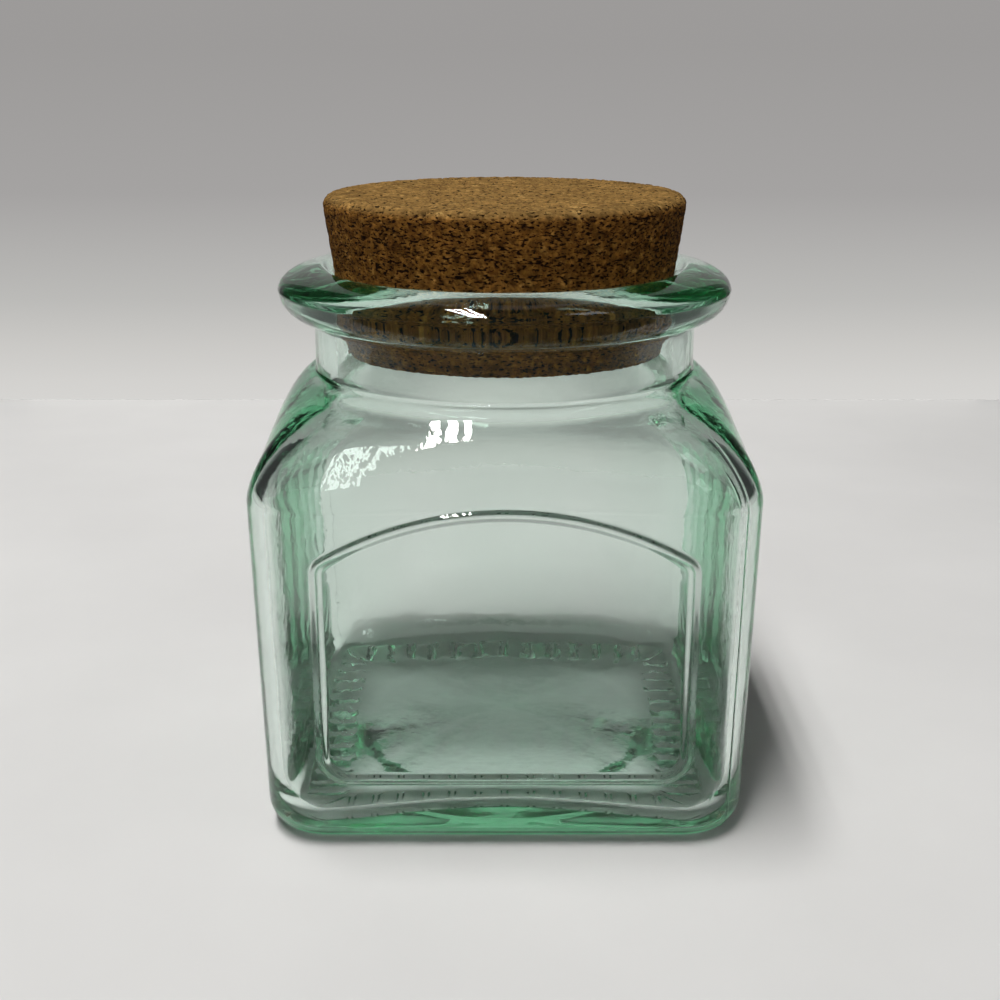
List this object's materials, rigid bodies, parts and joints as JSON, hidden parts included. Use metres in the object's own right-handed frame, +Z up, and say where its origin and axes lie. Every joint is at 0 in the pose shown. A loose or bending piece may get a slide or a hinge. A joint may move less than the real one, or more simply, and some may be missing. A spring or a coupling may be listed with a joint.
{
  "type": "glass jar with cork lid",
  "caption": "Square pale-green glass storage jar with rounded corners, an arched front panel, a round bead-rimmed mouth and a tapered cork stopper that lifts out.",
  "frame": {"origin": "on the jar's axis, in the plane that it stands on", "axes": "+Z up along the jar's axis, -Y out of the face with the arched panel, +X to the right as seen from that face"},
  "size_m": [0.1, 0.1006, 0.1242],
  "materials": {
    "green_glass": "polished",
    "cork": "matte"
  },
  "bodies": {
    "jar": {"glass_jar": "green_glass"},
    "stopper": {"cork_stopper": "cork"}
  },
  "joints": [
    {"name": "stopper_lift", "type": "slide", "parent": "jar", "child": "stopper", "axis": [0, 0, 1], "range_m": [0, 0.06]}
  ]
}
